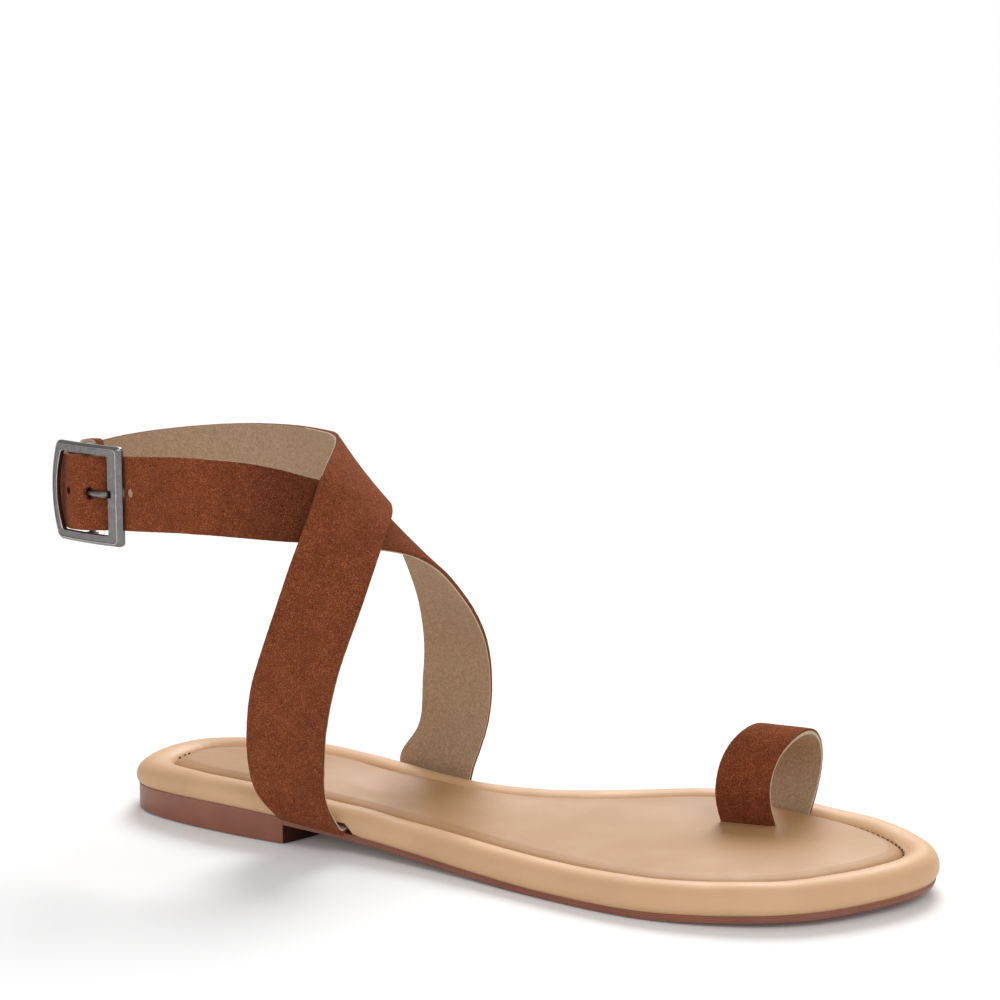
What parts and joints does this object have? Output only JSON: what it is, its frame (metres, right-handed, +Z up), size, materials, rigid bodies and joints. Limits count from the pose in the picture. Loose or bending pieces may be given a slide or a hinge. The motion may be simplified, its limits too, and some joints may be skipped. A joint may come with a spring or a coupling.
{
  "type": "toe loop sandal",
  "caption": "Flat right foot sandal with a padded footbed, crossed suede straps that buckle round the ankle, and a toe loop.",
  "frame": {"origin": "on the floor, under the middle of the bounding box", "axes": "+X towards the toe, +Y towards the medial (big toe) side, +Z up"},
  "size_m": [0.2708, 0.0988, 0.1181],
  "materials": {
    "outsole_rubber": "smooth moulded brown rubber, satin",
    "footbed_leather": "smooth tan lining leather over foam, soft sheen",
    "strap_suede": "rust brown suede with a beige lining, no gloss",
    "buckle_metal": "dark pewter plating, satin"
  },
  "bodies": {
    "root": {"outsole": "outsole_rubber", "padded_rim": "footbed_leather", "insole": "footbed_leather", "crossed_straps": "strap_suede", "toe_loop": "strap_suede", "keeper_loop": "strap_suede", "buckle_frame": "buckle_metal", "buckle_prong": "buckle_metal"}
  },
  "joints": []
}
